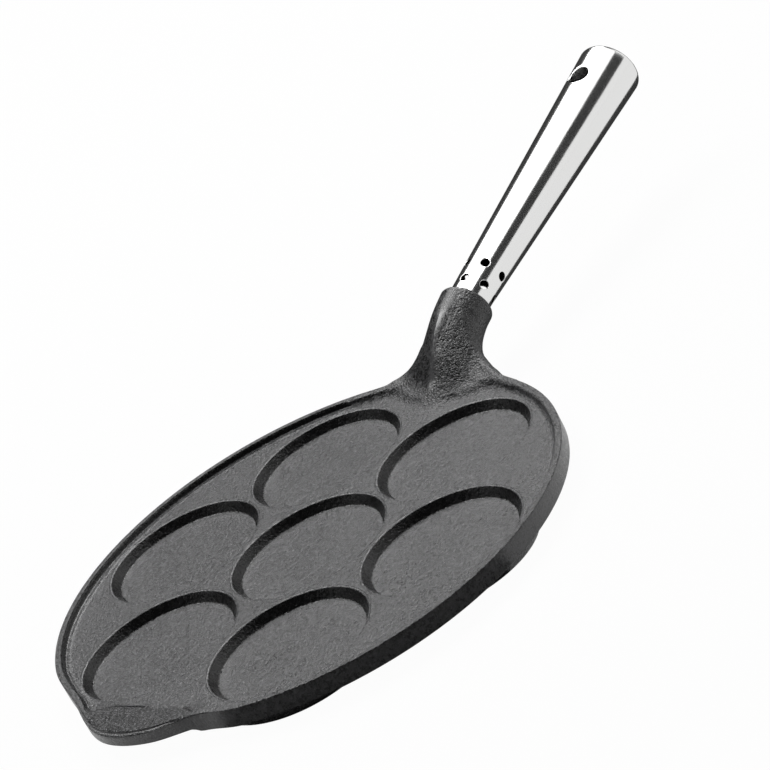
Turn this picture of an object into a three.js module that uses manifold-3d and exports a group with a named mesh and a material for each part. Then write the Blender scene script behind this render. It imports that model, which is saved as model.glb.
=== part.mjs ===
// Cast iron pancake pan: a shallow round plate with seven wells and a pouring lip,
// and a tapered steel tube handle whose root is cast into the iron of the neck.
// Millimetres, +Z up, +X along the handle.
// The origin is the centre of the flat face that the pan stands on.

import * as THREE from "three";
import { mergeVertices } from "three/addons/utils/BufferGeometryUtils.js";
import Module from "manifold-3d";

const wasm = await Module();
wasm.setup();

// Wells and the iron under them
const WELL_RADIUS = 35.1; // at the plate's face
const WELL_FLOOR_RADIUS = 32.3;
const WELL_DEPTH = 4.3;
const WELL_FILLET = 1.1; // where the wall meets the floor
const WELL_BROW = 0.5; // the softened edge at the plate's face
const WELL_GAP = 2.7; // iron between two neighbouring wells
const WELLS_ON_RING = 6;
const PLATE = 5.1; // thickness of the plate and of every well floor
const BOSS_SHOULDER = 3.7; // how far a well's underside reaches past the well
const BOSS_EDGE = 0.6;
const BOSS_DRAFT = 0.5;

// Rim
const RIM_MARGIN = 7; // from the outermost well edge to the outside of the rim
const RIM_RISE = 3.3; // above the plate's face
const RIM_LAND = 2.8; // width of the rim's flat top
const RIM_DRAFT = 0.6; // how far the rim's inner wall leans in
const RIM_FOOT = 2.6; // fillet between the inner wall and the plate
const RIM_EDGE = 0.5; // softened outer edges

// Pouring lip
const SPOUT_ANGLE = 171.5; // degrees, nearly opposite the handle
const SPOUT_REACH = 7.9; // past the rim's circle
// On each side the lip falls back within one half angle and the outline then hollows a
// little before it rejoins the rim's circle. Angles in degrees from the lip's middle.
const SPOUT_LEFT = { half: 20, waistAngle: 24, waistHalf: 12, waistDepth: 0.8 };
const SPOUT_RIGHT = { half: 24, waistAngle: 20.5, waistHalf: 11, waistDepth: 2.6 };
const SPOUT_RAMP = 11.8; // from the rim's circle in to the foot of the ramp
const SPOUT_RAMP_HALF_ANGLE = 27;
const SPOUT_UNDERCUT = 1.9; // how much higher the lip's underside lies
const SPOUT_UNDERCUT_HALF_ANGLE = 18.5;
const SPOUT_UNDERCUT_FALL = 2.2; // degrees over which the underside drops back
const SPOUT_LIP = 2.4; // rounding of the lip's upper edge
const SPOUT_LIP_DROP = 0.3;

// Neck and collar
const NECK_LENGTH = 30; // from the rim's circle to the collar's end
const NECK_RUN_IN = 16.8; // from the rim's circle in to the tip on the plate
const NECK_FLARE = 38.5; // half width that the neck's skirt would reach at the plate
const COLLAR_RADIUS = 12.2;
const COLLAR_LIFT = 19.6; // of the collar's centre above the plate's face
const COLLAR_LEAN = 15; // degrees, of the collar's end face
const COLLAR_EDGE = 1.9;

// Handle tube
const HANDLE_SLOPE = 9.77; // degrees
const TUBE_LENGTH = 154; // clear of the collar
const TUBE_COLLAR_RADIUS = 9.2;
const TUBE_END_RADIUS = 14.9;
const TUBE_WALL = 1.2;
const TUBE_EMBED = 15; // length held in the iron
const TUBE_BELL = 0.6; // flare of the root that locks the tube in the iron
const TUBE_BELL_LENGTH = 4;
const TUBE_END_ROUND = 2.3;
const VENT_RADIUS = 2.1;
const VENTS_IN_ROW = 6;
// Distance from the collar's end, and degrees that the row is turned off the top
const VENT_ROWS = [
  { offset: 6.6, turn: 5.75 },
  { offset: 16.75, turn: 37.75 },
];
const EYELET_FROM_END = 20;
const EYELET_BORE_RADIUS = 5;
const EYELET_WALL = 0.8;
const CAP_THICKNESS = 1.6;
const PLUG_THICKNESS = 2.5;

// Fits
const GAP = 0.3; // between touching pieces
const OVERRUN = 2; // how far a cutter passes a face
const WELD = 1e-4; // points closer than this become one

// Mesh counts
const RIM_SEGMENTS = 104;
const WELL_SEGMENTS = 48;
const TUBE_SEGMENTS = 44;
const BORE_SEGMENTS = 24;
const VENT_SEGMENTS = 12;
const FILLET_STEPS = 3;
const WELL_FILLET_STEPS = 2;
const NECK_SEGMENTS = 48;
const BELL_STEPS = 4;

// Worked out from the sizes above
const WELL_RING_RADIUS = 2 * WELL_RADIUS + WELL_GAP;
const RIM_RADIUS = WELL_RING_RADIUS + WELL_RADIUS + RIM_MARGIN;
const BOSS_RADIUS = WELL_RADIUS + BOSS_SHOULDER;
const UNDERSIDE = WELL_DEPTH; // height of the plate's underside
const PLATE_TOP = UNDERSIDE + PLATE;
const RIM_TOP = PLATE_TOP + RIM_RISE;
const radians = THREE.MathUtils.degToRad;
const lerp = THREE.MathUtils.lerp;

// One hump, 1 in the middle and 0 from one half width outwards.
function hump(offset, half) {
  const share = Math.min(Math.abs(offset) / half, 1);
  return Math.cos((Math.PI / 2) * share) ** 2;
}

// Full inside the half width, then down to 0 over the fall.
function plateau(offset, half, fall) {
  return hump(Math.max(Math.abs(offset) - half, 0), fall);
}

function solid(geometry) {
  const bare = geometry.clone();
  bare.deleteAttribute("normal");
  bare.deleteAttribute("uv");
  const merged = mergeVertices(bare, WELD);
  return new wasm.Manifold(
    new wasm.Mesh({
      numProp: 3,
      vertProperties: new Float32Array(merged.attributes.position.array),
      triVerts: new Uint32Array(merged.index.array),
    }),
  );
}

function geometryOf(body) {
  const mesh = body.getMesh();
  const geometry = new THREE.BufferGeometry();
  geometry.setAttribute("position", new THREE.BufferAttribute(mesh.vertProperties, 3));
  geometry.setIndex(new THREE.BufferAttribute(mesh.triVerts, 1));
  geometry.computeVertexNormals();
  return geometry;
}

// A solid of revolution about +Z from [radius, height] pairs listed bottom to top.
function revolve(profile, segments) {
  const points = profile.map(([radius, height]) => new THREE.Vector2(radius, height));
  return new THREE.LatheGeometry(points, segments).rotateX(Math.PI / 2);
}

// Closed rings of points joined side by side, with a fan over the first and the last.
function loft(rings, firstCentre, lastCentre) {
  const count = rings[0].length;
  const points = rings.flat();
  const first = points.push(firstCentre) - 1;
  const last = points.push(lastCentre) - 1;
  const index = [];
  for (let ring = 0; ring + 1 < rings.length; ring += 1) {
    for (let side = 0; side < count; side += 1) {
      const next = (side + 1) % count;
      const a = ring * count + side;
      const b = ring * count + next;
      index.push(a, b, b + count, a, b + count, a + count);
    }
  }
  const top = (rings.length - 1) * count;
  for (let side = 0; side < count; side += 1) {
    const next = (side + 1) % count;
    index.push(first, next, side, last, top + side, top + next);
  }
  const geometry = new THREE.BufferGeometry();
  geometry.setAttribute(
    "position",
    new THREE.Float32BufferAttribute(points.flatMap((point) => point.toArray()), 3),
  );
  geometry.setIndex(index);
  return geometry;
}

// [x, y] of each well's centre
const wellCentres = [[0, 0]];
for (let well = 0; well < WELLS_ON_RING; well += 1) {
  const angle = ((well + 0.5) / WELLS_ON_RING) * 2 * Math.PI;
  wellCentres.push([WELL_RING_RADIUS * Math.cos(angle), WELL_RING_RADIUS * Math.sin(angle)]);
}

// The plate's profile at one azimuth in degrees, as [radius, height] pairs from the
// underside, up the outside, over the rim and down its inner wall or the lip's ramp.
function rimProfile(azimuth) {
  const turn = THREE.MathUtils.euclideanModulo(azimuth - SPOUT_ANGLE + 180, 360) - 180;
  const side = turn < 0 ? SPOUT_LEFT : SPOUT_RIGHT;
  const ramp = hump(turn, SPOUT_RAMP_HALF_ANGLE);
  const lifted = plateau(turn, SPOUT_UNDERCUT_HALF_ANGLE, SPOUT_UNDERCUT_FALL);
  const waist = hump(Math.abs(turn) - side.waistAngle, side.waistHalf);
  const outside =
    RIM_RADIUS + SPOUT_REACH * hump(turn, side.half) - side.waistDepth * waist;
  const under = UNDERSIDE + SPOUT_UNDERCUT * lifted;
  const top = RIM_TOP - SPOUT_LIP_DROP * lifted;
  const edge = lerp(RIM_EDGE, SPOUT_LIP, lifted);
  const profile = [
    [RIM_RADIUS - RIM_MARGIN, UNDERSIDE],
    [outside - RIM_EDGE, under],
    [outside, under + RIM_EDGE],
  ];
  for (let step = 0; step <= FILLET_STEPS; step += 1) {
    const angle = (step / FILLET_STEPS) * (Math.PI / 2);
    profile.push([outside - edge * (1 - Math.cos(angle)), top - edge * (1 - Math.sin(angle))]);
  }
  // The inner side runs down as a steep wall with a filleted foot. Towards the
  // middle of the lip its points slide in onto a long ramp.
  const rampFoot = (RIM_RADIUS - SPOUT_RAMP) / Math.cos(radians(turn * ramp));
  const rampTop = outside - edge - RIM_EDGE;
  const wallTop = outside - RIM_LAND;
  const wallFoot = outside - RIM_LAND - RIM_DRAFT;
  const inner = [[wallTop, top]];
  for (let step = 0; step <= FILLET_STEPS + 1; step += 1) {
    const angle = (step / (FILLET_STEPS + 1)) * (Math.PI / 2);
    inner.push([
      wallFoot - RIM_FOOT * (1 - Math.cos(angle)),
      PLATE_TOP + RIM_FOOT * (1 - Math.sin(angle)),
    ]);
  }
  const fall = top - PLATE_TOP;
  for (const [radius, height] of inner) {
    const onRamp = lerp(rampFoot, rampTop, (height - PLATE_TOP) / fall);
    profile.push([lerp(radius, onRamp, ramp), height]);
  }
  return profile;
}

function plateBody() {
  const rings = [];
  for (let segment = 0; segment < RIM_SEGMENTS; segment += 1) {
    const azimuth = (segment / RIM_SEGMENTS) * 360;
    rimProfile(azimuth).forEach(([radius, height], ring) => {
      rings[ring] ??= [];
      rings[ring].push(
        new THREE.Vector3(
          radius * Math.cos(radians(azimuth)),
          radius * Math.sin(radians(azimuth)),
          height,
        ),
      );
    });
  }
  const bottom = new THREE.Vector3(0, 0, UNDERSIDE);
  const top = new THREE.Vector3(0, 0, PLATE_TOP);
  return solid(loft(rings, bottom, top));
}

// The rounded pad of iron under one well
function boss([x, y]) {
  const geometry = revolve(
    [
      [0, 0],
      [BOSS_RADIUS - BOSS_EDGE, 0],
      [BOSS_RADIUS, BOSS_EDGE],
      [BOSS_RADIUS + BOSS_DRAFT, UNDERSIDE + OVERRUN],
      [0, UNDERSIDE + OVERRUN],
    ],
    WELL_SEGMENTS,
  );
  return solid(geometry.translate(x, y, 0));
}

// What a well takes out: a flat floor, a fillet, a sloping wall and a softened brow
function wellCutter([x, y]) {
  const slope = Math.atan2(WELL_DEPTH, WELL_RADIUS - WELL_FLOOR_RADIUS);
  const reach = WELL_FILLET * Math.tan(slope / 2);
  const profile = [[0, PLATE]];
  for (let step = 0; step <= WELL_FILLET_STEPS; step += 1) {
    const angle = (step / WELL_FILLET_STEPS) * slope;
    profile.push([
      WELL_FLOOR_RADIUS - reach + WELL_FILLET * Math.sin(angle),
      PLATE + WELL_FILLET * (1 - Math.cos(angle)),
    ]);
  }
  profile.push(
    [WELL_RADIUS - WELL_BROW * Math.cos(slope), PLATE_TOP - WELL_BROW * Math.sin(slope)],
    [WELL_RADIUS + WELL_BROW, PLATE_TOP],
    [WELL_RADIUS + WELL_BROW, PLATE_TOP + OVERRUN],
    [0, PLATE_TOP + OVERRUN],
  );
  return solid(revolve(profile, WELL_SEGMENTS).translate(x, y, 0));
}

// The neck is lofted through sections that stand across the way from the plate to the
// collar. Each row of shares is: the way along, the centre's lift, the lean, the half
// width in flares and in collar radii, the iron above and below the centre in collar
// radii, and how far the upper outline is a bell rather than an arch.
const NECK_SECTION_SHARES = [
  [0, -0.05, 0, 0.06, 0, 0.03, 0.25, 1],
  [0.086, 0.01, 0, 0.3, 0, 0.4, 0.39, 1],
  [0.194, 0.03, 0, 0.6, 0, 0.82, 0.42, 1],
  [0.302, 0.13, 0.02, 0.77, 0, 1.1, 0.6, 0.95],
  [0.4, 0.21, 0.1, 0.34, 0.92, 1.27, 0.73, 0.7],
  [0.497, 0.34, 0.25, 0.17, 0.96, 1.32, 0.865, 0.4],
  [0.605, 0.52, 0.45, 0.05, 1, 1.245, 0.957, 0.12],
  [0.713, 0.71, 0.65, 0, 1.01, 1.12, 0.975, 0],
  [0.832, 0.87, 0.85, 0, 1, 1.012, 0.975, 0],
];

function neckSection({ out, height, lean, half, above, below, bell }) {
  const up = new THREE.Vector3(-Math.sin(lean), 0, Math.cos(lean));
  const centre = new THREE.Vector3(out, 0, height);
  const ring = [];
  for (let side = 0; side < NECK_SEGMENTS; side += 1) {
    const angle = (side / NECK_SEGMENTS) * 2 * Math.PI;
    const across = Math.cos(angle);
    const arch = Math.sin(angle);
    const rise =
      arch >= 0 ? above * lerp(arch, hump(across, 1), bell) : below * arch;
    const point = centre.clone().addScaledVector(up, rise);
    point.y += half * across;
    ring.push(point);
  }
  return { ring, centre };
}

const COLLAR_END = RIM_RADIUS + NECK_LENGTH;
const COLLAR_HEIGHT = PLATE_TOP + COLLAR_LIFT;

function neckBody() {
  const root = RIM_RADIUS - NECK_RUN_IN;
  const lean = radians(COLLAR_LEAN);
  const sections = NECK_SECTION_SHARES.map((shares) => {
    const [along, lift, leaning, flare, collar, above, below, bell] = shares;
    return neckSection({
      out: lerp(root, COLLAR_END, along),
      height: PLATE_TOP + COLLAR_LIFT * lift,
      lean: lean * leaning,
      half: NECK_FLARE * flare + COLLAR_RADIUS * collar,
      above: COLLAR_RADIUS * above,
      below: COLLAR_RADIUS * below,
      bell,
    });
  });
  // The collar ends in a quarter round and a flat face.
  for (let step = 0; step <= FILLET_STEPS; step += 1) {
    const angle = (step / FILLET_STEPS) * (Math.PI / 2);
    const back = COLLAR_EDGE * (1 - Math.sin(angle));
    const radius = COLLAR_RADIUS - COLLAR_EDGE * (1 - Math.cos(angle));
    sections.push(
      neckSection({
        out: COLLAR_END - back * Math.cos(lean),
        height: COLLAR_HEIGHT - back * Math.sin(lean),
        lean,
        half: radius,
        above: radius,
        below: radius,
        bell: 0,
      }),
    );
  }
  const rings = sections.map((section) => section.ring);
  return solid(loft(rings, sections[0].centre, sections.at(-1).centre));
}

// The handle is drawn standing on the collar's end, then laid along its slope.
function layAlongHandle(geometry) {
  return geometry
    .rotateY(Math.PI / 2 - radians(HANDLE_SLOPE))
    .translate(COLLAR_END, 0, COLLAR_HEIGHT);
}

const taper = (TUBE_END_RADIUS - TUBE_COLLAR_RADIUS) / TUBE_LENGTH;
function tubeRadius(distance) {
  return TUBE_COLLAR_RADIUS + taper * distance;
}

// Radius of the tube's outside in the iron, with the bell at its root
function rootRadius(distance) {
  return tubeRadius(distance) + TUBE_BELL * hump(distance + TUBE_EMBED, TUBE_BELL_LENGTH);
}

// Distances from the collar's end at which the embedded tube is drawn
function rootStations() {
  const stations = [];
  for (let step = 0; step <= BELL_STEPS; step += 1) {
    stations.push(-TUBE_EMBED + (step / BELL_STEPS) * TUBE_BELL_LENGTH);
  }
  return stations;
}

function tubeOutside(extra) {
  const profile = rootStations().map((at) => [rootRadius(at) + extra, at]);
  const bend = TUBE_LENGTH - TUBE_END_ROUND;
  for (let step = 0; step <= FILLET_STEPS + 1; step += 1) {
    const angle = (step / (FILLET_STEPS + 1)) * (Math.PI / 2);
    profile.push([
      tubeRadius(bend) + extra - TUBE_END_ROUND * (1 - Math.cos(angle)),
      bend + TUBE_END_ROUND * Math.sin(angle),
    ]);
  }
  return profile;
}

function tubeInside() {
  const bend = TUBE_LENGTH - TUBE_END_ROUND;
  const profile = rootStations().map((at) => [rootRadius(at) - TUBE_WALL, at]);
  const small = TUBE_END_ROUND - TUBE_WALL;
  for (let step = 0; step <= FILLET_STEPS; step += 1) {
    const angle = (step / FILLET_STEPS) * (Math.PI / 2);
    profile.push([
      tubeRadius(bend) - TUBE_WALL - small * (1 - Math.cos(angle)),
      bend + small * Math.sin(angle),
    ]);
  }
  return profile;
}

// A bore across the handle at one distance from the collar's end
function crossBore(radius, distance, from, to, segments) {
  const geometry = new THREE.CylinderGeometry(radius, radius, to - from, segments);
  geometry.translate(0, (from + to) / 2, 0);
  return geometry.rotateZ(Math.PI / 2).translate(0, 0, distance);
}

const EYELET_AT = TUBE_LENGTH - EYELET_FROM_END;
const EYELET_RADIUS = EYELET_BORE_RADIUS + EYELET_WALL;

function handleTube() {
  const outside = tubeOutside(0);
  const inside = tubeInside();
  const mouth = inside.at(-1)[0];
  const profile = [...outside, [mouth, TUBE_LENGTH], ...inside.reverse()];
  profile.push(outside[0]);
  let tube = solid(layAlongHandle(revolve(profile, TUBE_SEGMENTS)));
  for (const { offset, turn } of VENT_ROWS) {
    for (let vent = 0; vent < VENTS_IN_ROW; vent += 1) {
      const reach = tubeRadius(offset) + OVERRUN;
      const hole = crossBore(VENT_RADIUS, offset, 0, reach, VENT_SEGMENTS);
      hole.rotateZ((vent / VENTS_IN_ROW) * 2 * Math.PI + radians(turn));
      tube = tube.subtract(solid(layAlongHandle(hole)));
    }
  }
  const span = TUBE_END_RADIUS + OVERRUN;
  const seat = crossBore(EYELET_RADIUS + GAP, EYELET_AT, -span, span, BORE_SEGMENTS);
  return tube.subtract(solid(layAlongHandle(seat)));
}

// The sleeve through the handle's end, trimmed flush with the tube's outside
function hangingEyelet() {
  const span = TUBE_END_RADIUS + OVERRUN;
  const [bore, sleeve] = [EYELET_BORE_RADIUS, EYELET_RADIUS].map((radius) =>
    solid(layAlongHandle(crossBore(radius, EYELET_AT, -span, span, BORE_SEGMENTS))),
  );
  const skin = [[0, -TUBE_EMBED], ...tubeOutside(0), [0, TUBE_LENGTH]];
  const hull = solid(layAlongHandle(revolve(skin, TUBE_SEGMENTS)));
  return sleeve.subtract(bore).intersect(hull);
}

// The disc that closes the handle's end
function handleEndCap() {
  const radius = tubeInside().at(-1)[0] - GAP;
  const profile = [
    [0, TUBE_LENGTH - CAP_THICKNESS],
    [radius, TUBE_LENGTH - CAP_THICKNESS],
    [radius, TUBE_LENGTH],
    [0, TUBE_LENGTH],
  ];
  return solid(layAlongHandle(revolve(profile, TUBE_SEGMENTS)));
}

// The disc that keeps the iron out of the tube while the pan is cast
function rootPlug() {
  const front = -TUBE_EMBED;
  const back = front + PLUG_THICKNESS;
  const frontRadius = rootRadius(back) - TUBE_WALL - GAP;
  const profile = [
    [0, front],
    [frontRadius, front],
    [frontRadius, back],
    [0, back],
  ];
  return solid(layAlongHandle(revolve(profile, TUBE_SEGMENTS)));
}

// The hollow that the tube's root leaves in the neck
function socketCutter() {
  const stations = rootStations();
  const profile = [
    [0, -TUBE_EMBED - GAP],
    [rootRadius(-TUBE_EMBED) + GAP, -TUBE_EMBED - GAP],
    ...stations.map((at) => [rootRadius(at) + GAP, at]),
    [tubeRadius(COLLAR_RADIUS) + GAP, COLLAR_RADIUS],
    [0, COLLAR_RADIUS],
  ];
  return solid(layAlongHandle(revolve(profile, TUBE_SEGMENTS)));
}

function panCasting() {
  let iron = plateBody();
  for (const centre of wellCentres) {
    iron = iron.add(boss(centre));
  }
  iron = iron.add(neckBody());
  for (const centre of wellCentres) {
    iron = iron.subtract(wellCutter(centre));
  }
  return iron.subtract(socketCutter());
}

const castIron = { color: 0x3a3a3b, roughness: 0.55, metalness: 0.6 };
const brushedSteel = { color: 0xd9dadb, roughness: 0.22, metalness: 1 };
const plainSteel = { color: 0xb4b6b8, roughness: 0.4, metalness: 1 };

const group = new THREE.Group();
const pieces = [
  ["pan_casting", panCasting(), castIron],
  ["handle_tube", handleTube(), brushedSteel],
  ["hanging_eyelet", hangingEyelet(), brushedSteel],
  ["handle_end_cap", handleEndCap(), brushedSteel],
  ["root_plug", rootPlug(), plainSteel],
];
for (const [name, body, finish] of pieces) {
  const mesh = new THREE.Mesh(geometryOf(body), new THREE.MeshStandardMaterial(finish));
  mesh.name = name;
  group.add(mesh);
}

export default group;
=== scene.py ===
# Looks of a cast iron pancake pan with seven wells and a tapered steel handle.
# The shapes are worked out in millimetres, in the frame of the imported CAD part,
# and become metres when they are put into a mesh.

import math

import bpy
import numpy as np
from bpy.props import FloatProperty, FloatVectorProperty, PointerProperty
from mathutils import Matrix, Vector


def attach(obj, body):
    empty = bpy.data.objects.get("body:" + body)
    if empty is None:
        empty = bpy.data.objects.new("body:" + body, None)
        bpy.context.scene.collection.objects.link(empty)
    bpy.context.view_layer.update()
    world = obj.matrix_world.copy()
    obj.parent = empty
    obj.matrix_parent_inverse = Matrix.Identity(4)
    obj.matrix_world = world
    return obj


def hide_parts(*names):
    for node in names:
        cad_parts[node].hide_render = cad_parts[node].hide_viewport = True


bl_info = {
    "name": "Pancake pan",
    "version": (1, 0, 0),
    "blender": (4, 5, 0),
    "location": "3D View > Sidebar > Pancake pan",
    "description": "Builds the iron casting, the steel handle and the studio of a pancake pan",
    "category": "Object",
}

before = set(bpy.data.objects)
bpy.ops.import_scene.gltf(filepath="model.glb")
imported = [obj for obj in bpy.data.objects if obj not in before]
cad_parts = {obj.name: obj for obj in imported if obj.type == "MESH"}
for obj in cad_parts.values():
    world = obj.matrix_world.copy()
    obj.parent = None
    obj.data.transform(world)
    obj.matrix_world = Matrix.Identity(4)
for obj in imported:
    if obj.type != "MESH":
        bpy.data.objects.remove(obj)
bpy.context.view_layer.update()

MM = 0.001

# Wells and the pads of iron under them
WELL_RADIUS = 35.1
WELL_FLOOR_RADIUS = 32.3
WELL_DEPTH = 4.3
WELL_FILLET = 1.1
WELL_RING = 72.9
PLATE_TOP = 9.4
UNDERSIDE = 4.3
PAD_RADIUS = 38.8
PAD_EDGE = 0.6
PAD_DRAFT = 0.5

# Rim
RIM_RADIUS = 115.0
RIM_MARGIN = 7.0
RIM_TOP = 12.7
RIM_LAND = 2.8
RIM_DRAFT = 0.6
RIM_FOOT = 2.6
RIM_EDGE = 0.5

# Pouring lip. Angles in degrees. Each side's row holds the half angle of the lip, and
# the angle, half angle and depth of the hollow beside it.
LIP_ANGLE = 171.5
LIP_REACH = 7.78
LIP_LEFT = (20.0, 24.0, 12.0, 0.8)
LIP_RIGHT = (24.0, 20.5, 11.0, 2.6)
LIP_CHORD = 102.2
LIP_CHORD_ANGLE = 179.0
LIP_RAMP_RUN = 9.0
LIP_GROOVE = 0.3
LIP_UNDERCUT = 1.9
LIP_UNDERCUT_HALF = 18.5
LIP_UNDERCUT_FALL = 2.2
LIP_EDGE = 2.2
LIP_EDGE_HALF = 27.0
LIP_DROP = 0.3

# Neck and collar
NECK_ROOT = 98.2
NECK_FLARE = 38.5
COLLAR_END = 145.0
COLLAR_RADIUS = 12.2
COLLAR_LIFT = 19.6
COLLAR_LEAN = 15.0
COLLAR_EDGE = 1.9

CREST_ROUND = 0.05
CREST_SHARE = 0.6

# Rows of shares: the way along the neck, then the centre's lift, the lean, the half
# width in flares and in collar radii, the iron above and below the centre in collar
# radii, and how far the upper outline is a bell rather than an arch.
NECK_SHARES = np.array([
    (-0.1, -0.39, 0, 0.04, 0, 0.03, 0.2, 1),
    (0, -0.05, 0, 0.06, 0, 0.03, 0.25, 1),
    (0.086, 0.01, 0, 0.3, 0, 0.4, 0.39, 1),
    (0.194, 0.03, 0, 0.6, 0, 0.82, 0.42, 1),
    (0.302, 0.13, 0.02, 0.77, 0, 1.1, 0.6, 0.95),
    (0.4, 0.21, 0.1, 0.34, 0.92, 1.27, 0.73, 0.7),
    (0.497, 0.34, 0.25, 0.17, 0.96, 1.32, 0.865, 0.4),
    (0.605, 0.52, 0.45, 0.05, 1, 1.245, 0.957, 0.12),
    (0.713, 0.71, 0.65, 0, 1.01, 1.12, 0.975, 0),
    (0.832, 0.87, 0.85, 0, 1, 1.012, 0.975, 0),
    (1.0, 1.0, 1, 0, 1, 1, 1, 0),
    (1.1, 1.08, 1, 0, 1, 1, 1, 0),
])

# The ridge that carries the rim's land up each flank of the neck: its two ends and,
# between them, two points that pull it. Each is x, off the middle, z.
RIDGE = np.array([
    (102.0, 50.0, 11.0),
    (107.5, 35.0, 10.4),
    (115.5, 19.5, 12.0),
    (121.2, 13.8, 22.0),
])
RIDGE_RADIUS = 1.35
# How much thinner the left one is, and the fillet at its sides
RIDGE_LESS = 1.0
RIDGE_BLEND = 2.2

# Handle
HANDLE_SLOPE = 9.77
TUBE_LENGTH = 153.97
TUBE_COLLAR_RADIUS = 9.2
TUBE_END_RADIUS = 14.87
TUBE_WALL = 1.2
TUBE_EMBED = 15.0
TUBE_BELL = 0.6
TUBE_BELL_LENGTH = 4.0
TUBE_END_ROUND = 2.3
VENT_RADIUS = 2.1
VENTS_IN_ROW = 6
# Each row's distance from the collar and its turn off the top in degrees
VENT_ROWS = ((6.6, 5.75), (16.75, 37.75))
EYELET_AT = 134.0
EYELET_BORE_RADIUS = 5.0
EYELET_WALL = 0.8
GAP = 0.3

# Mesh counts
AZIMUTHS_PER_HALF_CELL = 36
SIDE_RAYS = 34
INNER_RAYS = 16
NECK_COLUMNS = 28
NECK_RINGS = 30
RIDGE_STEPS = 12
TUBE_COLUMNS = 180

# The new rings end here, as a share of the neck's way, and the plain sections begin
NECK_JOINT = 0.66
# Points closer than this in millimetres become one
WELD = 0.0005


# Settings that a user would change, and what those of one kind share

LENGTH = {"subtype": "DISTANCE", "unit": "LENGTH"}
COLOUR = {"subtype": "COLOR", "size": 3, "min": 0.0, "max": 1.0}
FACTOR = {"subtype": "FACTOR", "min": 0.0, "max": 1.0}


class PanSizes(bpy.types.PropertyGroup):
    """Roundings of the casting and of the handle's holes"""

    brow: FloatProperty(
        name="Well brow",
        description="How far the rounding of a well's upper edge reaches each way",
        default=0.5 * MM,
        **LENGTH,
    )
    neck_blend: FloatProperty(
        name="Neck blend",
        description="How softly the neck runs into the plate and the rim",
        default=10.0 * MM,
        **LENGTH,
    )
    hole_edge: FloatProperty(
        name="Hole edge",
        description="Rounding of the edges of the handle's holes",
        default=0.22 * MM,
        **LENGTH,
    )


class IronSettings(bpy.types.PropertyGroup):
    """Finish of the seasoned iron"""

    colour: FloatVectorProperty(
        name="Iron colour",
        description="Colour of the seasoned iron",
        default=(0.02, 0.02, 0.0205),
        **COLOUR,
    )
    roughness: FloatProperty(
        name="Roughness",
        description="Roughness of the seasoned iron",
        default=0.38,
        **FACTOR,
    )
    grain_size: FloatProperty(
        name="Grain size",
        description="Width of one grain that the sand of the mould left",
        default=0.95 * MM,
        **LENGTH,
    )
    grain_depth: FloatProperty(
        name="Grain depth",
        description="Height of the sand grain",
        default=0.5 * MM,
        **LENGTH,
    )


class SteelSettings(bpy.types.PropertyGroup):
    """Finish of the handle's steel"""

    colour: FloatVectorProperty(
        name="Steel colour",
        description="Colour of the steel",
        default=(0.75, 0.75, 0.745),
        **COLOUR,
    )
    roughness: FloatProperty(
        name="Roughness",
        description="Roughness of the polished steel",
        default=0.14,
        **FACTOR,
    )


class StudioSettings(bpy.types.PropertyGroup):
    """Floor and lights of the studio"""

    floor_colour: FloatVectorProperty(
        name="Floor colour",
        description="Colour of the studio's floor",
        default=(0.62, 0.62, 0.62),
        **COLOUR,
    )
    key_power: FloatProperty(
        name="Key light",
        description="Power of the large soft light over the back of the pan",
        unit="POWER",
        default=5.5,
    )
    sheen_power: FloatProperty(
        name="Sheen light",
        description="Power of the lower soft light that the plate shines with",
        unit="POWER",
        default=9.5,
    )
    top_power: FloatProperty(
        name="Top light",
        description="Power of the light that runs as a band down the collar",
        unit="POWER",
        default=15.0,
    )
    left_power: FloatProperty(
        name="Left light",
        description="Power of the small light on the far left of the pan",
        unit="POWER",
        default=0.8,
    )
    ridge_power: FloatProperty(
        name="Ridge light",
        description="Power of the small high light that picks out the neck's right flank",
        unit="POWER",
        default=2.5,
    )
    ambient: FloatProperty(
        name="Ambient light",
        description="Strength of the studio's even light",
        default=0.01,
        **FACTOR,
    )


# Shape functions. Azimuths are in degrees, lengths in millimetres.

def mix(first, second, share):
    """A straight run from the first value at share 0 to the second at share 1."""
    return first + (second - first) * share


def hump(offset, half):
    """A squared cosine: 1 in the middle, 0 from one half width outwards."""
    share = np.minimum(np.abs(offset) / half, 1.0)
    return np.cos(np.pi / 2 * share) ** 2


def off_azimuth(azimuth, middle):
    """Degrees from the middle azimuth, between -180 and 180."""
    return (azimuth - middle + 180) % 360 - 180


def at_azimuth(radius, height, azimuth):
    """Points from radius, height and azimuth, whole arrays at a time."""
    angle = np.radians(azimuth)
    parts = (radius * np.cos(angle), radius * np.sin(angle), height)
    return np.stack(np.broadcast_arrays(*parts), -1)


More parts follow.
